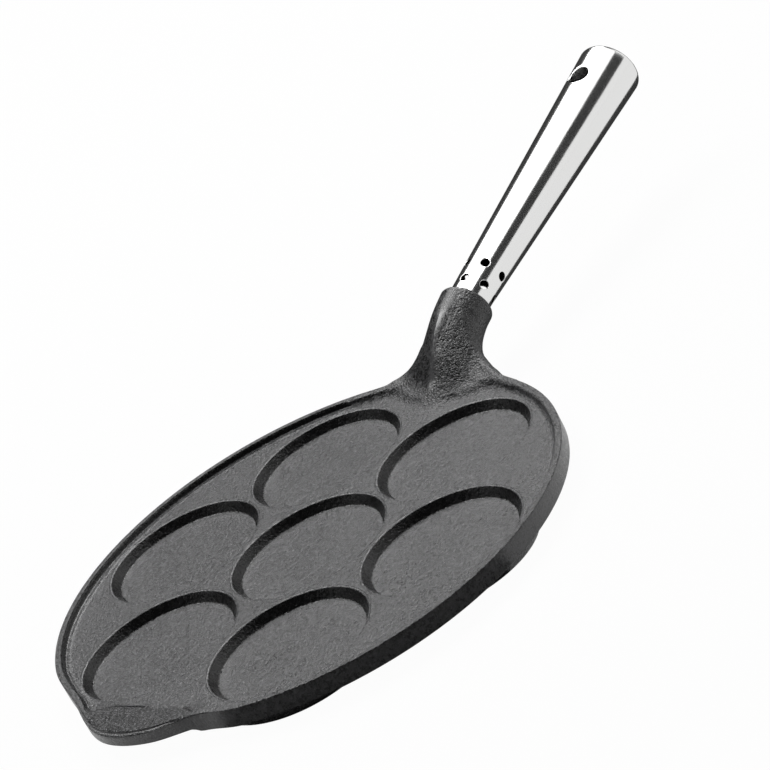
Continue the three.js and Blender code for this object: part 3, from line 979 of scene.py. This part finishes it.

# How strongly the painted highlights on the lip's edge, the rim's foot, the neck's flank and
# the front of the plate show, where the line on a well's brow, wear painted lighter as a
# highlight, counts as 1
LIP_HIGHLIGHT = 1.2
FOOT_HIGHLIGHT = 0.9
FLANK_HIGHLIGHT = 0.5
PLATE_HIGHLIGHT = 0.16


def iron_marks(points):
    """How much wear and painted highlight, grinding, coarse skin, smoothing, and oil and painted
    shade the iron has at each point. The brows of the wells carry wear that is painted lighter as
    a highlight line. The lip's edge, the foot of the rim's left wall, the neck's crest and its
    right flank carry painted highlight lines, and the plate a faint painted highlight that grows
    towards the front.
    The rim's outside is ground. The neck's top and left side are a band that was dressed smooth,
    and the lip's ramp and the neck right of that band keep the coarse skin of the mould. The walls
    of the wells and the rim's left wall are painted darker as shade, and oil makes them smoother
    and glossier."""
    x, y, z = points.T
    radius, azimuth = np.hypot(x, y), np.degrees(np.arctan2(y, x))
    ramp, ramp_foot, outside, under, top, edge = lip(azimuth)
    rim_wall = outside - RIM_LAND - RIM_DRAFT
    left_rim = (1 - ramp) * (x < 100) * np.clip(y / 20, 0, 1)
    above = z - PLATE_TOP
    rise = np.clip((above - 1.5) / 6, 0, 1)

    ring = np.radians(30 + 60 * np.arange(6))
    middles = np.concatenate([[0j], WELL_RING * np.exp(1j * ring)])
    off_well = np.min(np.abs((x + 1j * y)[:, None] - middles), 1)
    # A well's brow: a line of wear that is also painted lighter as a highlight
    brow = (np.abs(off_well - WELL_RADIUS - 0.2) < BROW_LINE) & (above > -0.4)
    well_wall = (off_well > WELL_FLOOR_RADIUS - 0.4) & (off_well < WELL_RADIUS + 0.1)

    # Painted shade: the walls of the wells and the rim's left wall get a darker colour, and oil
    # makes them smoother
    oiled = np.where(well_wall & (above < -0.3), 1.0, 0.0)
    inside = (radius > rim_wall - 1.4) & (radius < outside - RIM_LAND + 0.1)
    oiled += inside * (above > 0.9) * (z < top - 0.25) * left_rim

    lip_edge = (radius > outside - edge - 0.6) & (z > top - 0.9 * edge)
    # Bells of painted highlight along the lip's edge, the rim's foot and the neck's crest
    lip_highlight = np.exp(-(((radius - outside + 0.357 * edge) / LIP_LINE) ** 2))
    lip_highlight = lip_highlight * (edge > 1) * lip_edge
    foot_highlight = np.exp(-(((radius - rim_wall + RIM_FOOT - 0.4) / FOOT_LINE) ** 2))
    foot_highlight = foot_highlight * left_rim * (above > -0.1) * (above < 1.2)
    crest_highlight = np.exp(-((y / CREST_LINE) ** 2)) * rise * (x > 95) * (x < 128)
    flank = np.clip((-y - 11) / 5, 0, 1)
    # The brows' wear, painted lighter as a highlight, and painted highlights on the lip's edge and
    # the rim's foot
    worn = np.where(brow, 1.0, 0.0) + LIP_HIGHLIGHT * lip_highlight + FOOT_HIGHLIGHT * foot_highlight
    # Painted highlight on the plate, lighter towards the front
    worn += PLATE_HIGHLIGHT * (above < 0.1) * (1 - well_wall) * np.clip(0.45 - y / 110, 0, 1)
    # Painted highlights down the neck's crest and its right flank
    worn += crest_highlight + FLANK_HIGHLIGHT * flank * rise * (y > -36) * (x > 100)

    outer_wall = (radius > outside - 0.2) & (z < top - edge + 0.2) & (z > under + 0.3)
    plain_side = np.clip((np.abs(off_azimuth(azimuth, 0)) - 20) / 4, 0, 1)
    ground = outer_wall * plain_side * (1 - lip_edge) * (x < 110)

    # The dressed band's right border moves to the right towards the collar
    border = -3 - 3.5 * np.clip((x - 112) / 16, 0, 1)
    smooth = rise * np.clip((x - 96) / 8, 0, 1) / (1 + np.exp((border - y) / 1.1))
    skin = rise * (x > 92) * np.clip((136 - x) / 14, 0.25, 1) * (1 - flank)
    coarse = ramp * (radius > ramp_foot - 0.5) * (above > -0.1) + skin - smooth - lip_highlight
    marks = {"worn": worn, "ground": ground, "coarse": coarse, "smooth": smooth, "oiled": oiled}
    return {name: np.clip(mark, 0, 1) for name, mark in marks.items()}


# Shader maths

class Value:
    """A shader socket that Python's operators can work on."""

    def __init__(self, shader, socket):
        self.shader = shader
        self.socket = socket

    def _math(self, operation, first, second):
        return self.shader.node(
            "ShaderNodeMath", {"operation": operation}, {0: first, 1: second}
        )

    def __add__(self, other):
        return self._math("ADD", self, other)

    __radd__ = __add__

    def __mul__(self, other):
        return self._math("MULTIPLY", self, other)

    __rmul__ = __mul__

    def __sub__(self, other):
        return self._math("SUBTRACT", self, other)

    def __rsub__(self, other):
        return self._math("SUBTRACT", other, self)


class Shader:
    """The nodes of one material or world, with one method that adds a node."""

    def __init__(self, owner):
        owner.use_nodes = True
        self.tree = owner.node_tree
        self.tree.nodes.clear()

    def node(self, kind, settings=None, inputs=None, output=0):
        """Adds one node: its settings first, then the values or links of its sockets."""
        made = self.tree.nodes.new(kind)
        for name, setting in (settings or {}).items():
            setattr(made, name, setting)
        for name, value in (inputs or {}).items():
            if isinstance(value, Value):
                self.tree.links.new(value.socket, made.inputs[name])
            else:
                made.inputs[name].default_value = value
        return Value(self, made.outputs[output]) if made.outputs else None

    def coordinates(self):
        return self.node("ShaderNodeTexCoord", output="Object")

    def noise(self, vector, scale, detail=2.0, roughness=0.5):
        inputs = {"Vector": vector, "Scale": scale, "Detail": detail, "Roughness": roughness}
        return self.node("ShaderNodeTexNoise", None, inputs)

    def mark(self, name):
        return self.node("ShaderNodeAttribute", {"attribute_name": name}, output="Fac")

    def clamp(self, value):
        return self.node("ShaderNodeClamp", None, {"Value": value})

    def pebbles(self, vector, scale):
        """Rounded grains: the distance from the middle of each cell, upside down."""
        settings = {"feature": "SMOOTH_F1"}
        inputs = {"Vector": vector, "Scale": scale, "Smoothness": 0.4}
        return 1 - self.node("ShaderNodeTexVoronoi", settings, inputs)

    def smooth(self, value, low, high):
        """Goes smoothly from 0 at low to 1 at high."""
        inputs = {"Value": value, 1: low, 2: high}
        return self.node("ShaderNodeMapRange", {"interpolation_type": "SMOOTHSTEP"}, inputs)

    def colour_mix(self, factor, first, second):
        inputs = {0: factor, 6: first, 7: second}
        return self.node("ShaderNodeMix", {"data_type": "RGBA"}, inputs, 2)

    def bump(self, height, distance):
        return self.node("ShaderNodeBump", None, {"Height": height, "Distance": distance})

    def finish(self, kind, inputs, output="ShaderNodeOutputMaterial"):
        self.node(output, None, {"Surface": self.node(kind, None, inputs)})


def opaque(colour):
    """The colour with full alpha."""
    return (*colour, 1.0)


# The iron's tones, as shares of its colour. The fifth is painted shade, and the fourth is the tone
# of wear, of ground iron and of the painted highlights
IRON_TONES = {"dark": 0.1, "light": 4.0, "speck": 10.0, "bare": 5.0, "painted_shade": 0.15}


def cast_iron(settings):
    """Seasoned iron as it leaves the sand: nearly black, with a fine pebbled grain, a coarser skin
    on the neck and the lip, edges with wear that are painted lighter as highlights, painted
    highlight lines on the lip, the rim's foot and the neck, a painted highlight on the plate's
    front, painted shade on the walls of the wells and the rim's left wall, and a ground outer
    wall."""
    material = bpy.data.materials.new("cast_iron")
    shader = Shader(material)
    where = shader.coordinates()
    names = ("worn", "ground", "coarse", "smooth", "oiled")
    worn, ground, coarse, smooth, oiled = [shader.mark(name) for name in names]
    tones = {
        name: opaque([share * part for part in settings.colour])
        for name, share in IRON_TONES.items()
    }
    size = settings.grain_size
    pebbles = shader.pebbles(where, 1.0 / size)
    grit = shader.noise(where, 1.5 / size, 2.0, 0.6)
    specks = shader.smooth(shader.noise(where, 1.2 / size, 1.0), 0.54, 0.66)
    swell = shader.noise(where, 0.5 / size, 2.0, 0.8)
    mottle = shader.smooth(swell, 0.4, 0.62)
    patches = shader.smooth(shader.noise(where, 38.0, 3.0, 0.55), 0.3, 0.7)
    stretched = shader.node(
        "ShaderNodeMapping", {"vector_type": "POINT"}, {"Vector": where, "Scale": (1, 1, 0.05)}
    )
    grinding = shader.noise(stretched, 750.0, 2.0, 0.6)
    sand = (1 - 0.85 * ground) * (1 + 0.9 * coarse - 0.5 * worn)
    sand = sand * (1 - 0.9 * smooth) * (1 - 0.6 * oiled)
    height = (0.7 * grit + 0.45 * pebbles + 1.8 * swell) * sand + 0.12 * ground * grinding
    mixed = (0.75 * mottle + 0.15 * patches + 0.1 * grinding) * (1 - 0.6 * smooth)
    mixed = mixed * (1 - 0.6 * coarse)
    colour = shader.colour_mix(mixed, tones["dark"], tones["light"])
    colour = shader.colour_mix((0.4 + 0.6 * coarse) * specks, colour, tones["speck"])
    # Painted shade: the walls of the wells and the rim's left wall are darkened
    colour = shader.colour_mix(0.95 * oiled, colour, tones["painted_shade"])
    # Painted highlights and the brows' wear, and less the ground outer wall, lighten the colour
    bright = shader.clamp(0.8 * worn + 0.3 * ground)
    colour = shader.colour_mix(bright, colour, tones["bare"])
    rough = settings.roughness - 0.13 + 0.14 * mottle + 0.06 * grit + 0.04 * patches
    rough = rough - 0.1 * worn - 0.07 * smooth - 0.09 * oiled
    rough = rough - ground * (0.08 - 0.12 * grinding)
    shader.finish(
        "ShaderNodeBsdfPrincipled",
        {
            "Base Color": colour,
            "Roughness": rough,
            "Specular IOR Level": 0.5,
            "Normal": shader.bump(height, settings.grain_depth),
        },
    )
    return material


def brushed_steel(settings):
    """Polished steel with the faint lines of its brushing along the handle."""
    material = bpy.data.materials.new("brushed_steel")
    shader = Shader(material)
    turn = {"Rotation": (0.0, -math.radians(HANDLE_SLOPE), 0.0), "Scale": (50.0, 1.0, 1.0)}
    where = shader.coordinates()
    along = shader.node("ShaderNodeMapping", {"vector_type": "TEXTURE"}, {"Vector": where, **turn})
    lines = shader.noise(along, 1600.0, 2.0, 0.6)
    smudges = shader.noise(where, 60.0, 2.0)
    shader.finish(
        "ShaderNodeBsdfPrincipled",
        {
            "Base Color": opaque(settings.colour),
            "Metallic": 1.0,
            "Roughness": settings.roughness - 0.06 + 0.06 * lines + 0.05 * smudges,
            "Normal": shader.bump(lines, 0.006 * MM),
        },
    )
    return material


def dull_steel():
    """The inside of the handle and the walls of its holes: steel painted near black as shade, and
    dull, with patches of tone.
    """
    material = bpy.data.materials.new("dull_steel")
    shader = Shader(material)
    stains = shader.noise(shader.coordinates(), 220.0, 3.0, 0.6)
    # Painted shade: the inside is coloured near black
    colour = shader.colour_mix(stains, (0.006, 0.006, 0.006, 1.0), (0.03, 0.028, 0.026, 1.0))
    shader.finish(
        "ShaderNodeBsdfPrincipled",
        {"Base Color": colour, "Metallic": 0.3, "Roughness": 0.55 + 0.3 * stains},
    )
    return material


# Camera, solved from the seven wells of the photograph
CAMERA_AT = (-765.65 * MM, -924.47 * MM, 570.65 * MM)
CAMERA_RIGHT = (0.52229808, -0.73207998, -0.43733696)
CAMERA_DOWN = (-0.58550096, 0.06500522, -0.80806123)
CAMERA_FORWARD = (0.61999463, 0.67811004, -0.39468143)
CAMERA_LENS = 151.70


def add_camera():
    """The camera at the photograph's place, with its three axes as the turn."""
    data = bpy.data.cameras.new("camera")
    data.lens = CAMERA_LENS
    data.sensor_width = 36.0
    data.sensor_fit = "HORIZONTAL"
    data.clip_end = 50.0
    camera = bpy.data.objects.new("camera", data)
    columns = (Vector(CAMERA_RIGHT), -Vector(CAMERA_DOWN), -Vector(CAMERA_FORWARD))
    turn = Matrix(columns).transposed().to_4x4()
    camera.matrix_world = Matrix.Translation(CAMERA_AT) @ turn
    bpy.context.scene.collection.objects.link(camera)
    bpy.context.scene.camera = camera


# Each lamp's azimuth and elevation in degrees, and its width in metres
LAMPS = {
    "key": (45, 54, 1.1),
    "sheen": (28, 45, 0.7),
    "top": (84, 58, 0.75),
    "left": (128, 30, 0.3),
    "ridge": (-45, 58, 0.4),
}
LAMP_DISTANCE = 1.6
STUDIO_HALF = 6.0
FLOOR_GLOW = 0.97


def add_lamp(name, azimuth, elevation, size, power):
    """A square soft light that is turned towards the pan."""
    data = bpy.data.lights.new(name, "AREA")
    data.shape = "SQUARE"
    data.size = size
    data.energy = power
    lamp = bpy.data.objects.new(name, data)
    height = math.sin(math.radians(elevation))
    away = at_azimuth(math.cos(math.radians(elevation)), height, float(azimuth))
    direction = Vector(away.tolist())
    turn = direction.to_track_quat("Z", "Y").to_matrix().to_4x4()
    lamp.matrix_world = Matrix.Translation(LAMP_DISTANCE * direction) @ turn
    bpy.context.scene.collection.objects.link(lamp)


def add_card(name, corners, material):
    """A flat four-sided board of the studio."""
    mesh = bpy.data.meshes.new(name)
    mesh.from_pydata(corners, [], [(0, 1, 2, 3)])
    mesh.materials.append(material)
    card = bpy.data.objects.new(name, mesh)
    bpy.context.scene.collection.objects.link(card)
    return card


# Boards round the pan that only gloss sees, in metres. The flags stand between two
# places on the floor and reach from a height up to the ceiling, and the floor boards
# lie a hair under the pan.
CEILING = 4.7
FLAGS = {
    "front_flag": ((-3.4, 0.3), (0.9, -3.3), 0.0),
    "left_flag": ((-3.4, 0.3), (-0.9, 3.0), 0.0),
    "rear_flag": ((2.3, 2.3), (-0.9, 3.0), 0.0),
    "end_flag": ((2.3, 2.3), (3.3, 0.2), 0.0),
    "right_flag": ((3.3, 0.2), (0.9, -3.3), 2.2),
}
FLAT_BOARDS = {
    "ceiling": (CEILING, [(-3.4, -3.3), (3.4, -3.3), (3.4, 3.4), (-3.4, 3.4)]),
    "front_floor": (-0.02 * MM, [(-0.125, -0.02), (-3.4, -0.6), (0.9, -3.3), (-0.01, -0.11)]),
    "back_floor": (-0.02 * MM, [(0.13, -0.012), (0.45, -0.036), (2.3, 2.3), (0.2, 2.95)]),
    "end_floor": (-0.02 * MM, [(0.31, 0.012), (0.45, -0.036), (3.3, 0.2), (2.3, 2.3)]),
}
BOARD_LIGHT = 0.045
SOFT_BOX_LIGHT = 1.4

# The directions in which the camera sees the studio in the handle fan out round its
# axis: how far each leans along it, and two directions across it.
FAN_ALONG = 0.544
FAN_ACROSS = np.array([-0.100, -0.808, 0.580])
FAN_DOWN = np.array([0.137, -0.589, -0.796])
FAN_MIDDLE = np.array([0.22, 0.0, 0.045])


def fan_board(turns, away, reach):
    """Corners of a board that fills the fan between two turns about the handle."""
    along = handle_axis()[1]
    edges = []
    for turn in np.radians(turns):
        out = math.cos(turn) * FAN_ACROSS + math.sin(turn) * FAN_DOWN
        out = FAN_ALONG * along + math.sqrt(1 - FAN_ALONG**2) * out
        edges.append(FAN_MIDDLE + away * out)
    first, second = edges
    step = reach * along
    return np.array([first - step, first + step, second + step, second - step]).tolist()


def add_boards():
    """Dark boards for the stripes on the handle and the iron's dark walls, and the
    bright front of a soft box for the handle's widest stripe."""
    boards = []
    for name, (first, second, low) in FLAGS.items():
        corners = [(*first, low), (*second, low), (*second, CEILING), (*first, CEILING)]
        boards.append((name, corners, BOARD_LIGHT))
    for name, (height, places) in FLAT_BOARDS.items():
        boards.append((name, [(*place, height) for place in places], BOARD_LIGHT))
    boards.append(("gap_strip", fan_board((-15.5, 21), 1.3, 0.35), BOARD_LIGHT))
    boards.append(("soft_box", fan_board((-112, -17), 2.6, 0.8), SOFT_BOX_LIGHT))
    for name, corners, light in boards:
        material = bpy.data.materials.new(name)
        Shader(material).finish("ShaderNodeEmission", {"Strength": light})
        board = add_card(name, corners, material)
        board.visible_camera = False
        board.visible_diffuse = False
        board.visible_transmission = False
        board.visible_shadow = False


def backdrop_rays(shader):
    """1 where the camera, a gloss or a clear thing looks at the backdrop, else 0."""
    path = shader.tree.nodes.new("ShaderNodeLightPath")
    rays = ("Is Camera Ray", "Is Glossy Ray", "Is Transmission Ray")
    camera, glossy, clear = [Value(shader, path.outputs[ray]) for ray in rays]
    settings = {"operation": "ADD", "use_clamp": True}
    return shader.node("ShaderNodeMath", settings, {0: camera, 1: glossy + clear})


class PAN_OT_casting(bpy.types.Operator):
    """Adds the iron casting: plate, wells, rim, lip, neck and collar"""

    bl_idname = "pan.casting"
    bl_label = "Iron casting"

    def execute(self, context):
        sizes = context.scene.pan_sizes
        sheets = casting_sheets(sizes.brow / MM, sizes.neck_blend / MM)
        iron = cast_iron(context.scene.pan_iron)
        piece = add_piece("casting", sheets, iron, "pan_casting")
        points = np.empty(3 * len(piece.data.vertices))
        piece.data.vertices.foreach_get("co", points)
        for name, mark in iron_marks(points.reshape(-1, 3) / MM).items():
            attribute = piece.data.attributes.new(name, "FLOAT", "POINT")
            attribute.data.foreach_set("value", mark.astype(np.float32))
        return {"FINISHED"}


class PAN_OT_handle(bpy.types.Operator):
    """Adds the steel handle with its eyelet, end cap and root plug"""

    bl_idname = "pan.handle"
    bl_label = "Steel handle"

    def execute(self, context):
        steel = brushed_steel(context.scene.pan_steel)
        edge = context.scene.pan_sizes.hole_edge / MM
        tube = add_piece("tube", handle_sheets(edge), steel, "handle_tube")
        paint_inside(tube, dull_steel())
        add_piece("eyelet", eyelet_sheets(), steel, "hanging_eyelet")
        cap = turned_sheets(cap_profile())
        add_piece("end_cap", cap, steel, "handle_end_cap")
        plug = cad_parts["root_plug"]
        plug.data.materials.clear()
        plug.data.materials.append(steel)
        return {"FINISHED"}


class PAN_OT_studio(bpy.types.Operator):
    """Adds the floor, the lights, the backdrop and the camera"""

    bl_idname = "pan.studio"
    bl_label = "Studio"

    def execute(self, context):
        settings = context.scene.pan_studio
        world = bpy.data.worlds.new("studio")
        context.scene.world = world
        shader = Shader(world)
        strength = settings.ambient + (1 - settings.ambient) * backdrop_rays(shader)
        inputs = {"Color": (1.0, 1.0, 1.0, 1.0), "Strength": strength}
        shader.finish("ShaderNodeBackground", inputs, "ShaderNodeOutputWorld")
        material = bpy.data.materials.new("studio_floor")
        shader = Shader(material)
        colour = opaque(settings.floor_colour)
        paint = shader.node("ShaderNodeBsdfDiffuse", None, {"Color": colour})
        glow = shader.node("ShaderNodeEmission", None, {"Strength": 1.0})
        factor = FLOOR_GLOW * backdrop_rays(shader)
        shader.finish("ShaderNodeMixShader", {0: factor, 1: paint, 2: glow})
        corners = [(-1, -1), (1, -1), (1, 1), (-1, 1)]
        floor = [(STUDIO_HALF * x, STUDIO_HALF * y, -0.05 * MM) for x, y in corners]
        add_card("floor", floor, material)
        add_boards()
        for name, place in LAMPS.items():
            add_lamp(name, *place, getattr(settings, name + "_power"))
        add_camera()
        context.scene.view_settings.view_transform = "Standard"
        return {"FINISHED"}


OPERATORS = (PAN_OT_casting, PAN_OT_handle, PAN_OT_studio)
GROUPS = {
    "pan_sizes": PanSizes,
    "pan_iron": IronSettings,
    "pan_steel": SteelSettings,
    "pan_studio": StudioSettings,
}


class PAN_PT_panel(bpy.types.Panel):
    """Lists the operators and the settings"""

    bl_label = "Pancake pan"
    bl_idname = "PAN_PT_panel"
    bl_space_type = "VIEW_3D"
    bl_region_type = "UI"
    bl_category = "Pancake pan"

    def draw(self, context):
        for operator in OPERATORS:
            self.layout.operator(operator.bl_idname)
        for group, kind in GROUPS.items():
            settings = getattr(context.scene, group)
            for name in kind.__annotations__:
                self.layout.prop(settings, name)


def register():
    for item in (*GROUPS.values(), *OPERATORS, PAN_PT_panel):
        bpy.utils.register_class(item)
    for group, kind in GROUPS.items():
        setattr(bpy.types.Scene, group, PointerProperty(type=kind))


def unregister():
    for group in GROUPS:
        delattr(bpy.types.Scene, group)
    for item in (PAN_PT_panel, *OPERATORS, *GROUPS.values()):
        bpy.utils.unregister_class(item)


def main():
    """Builds everything."""
    register()
    bpy.ops.pan.casting()
    bpy.ops.pan.handle()
    bpy.ops.pan.studio()


if __name__ == "__main__":
    main()
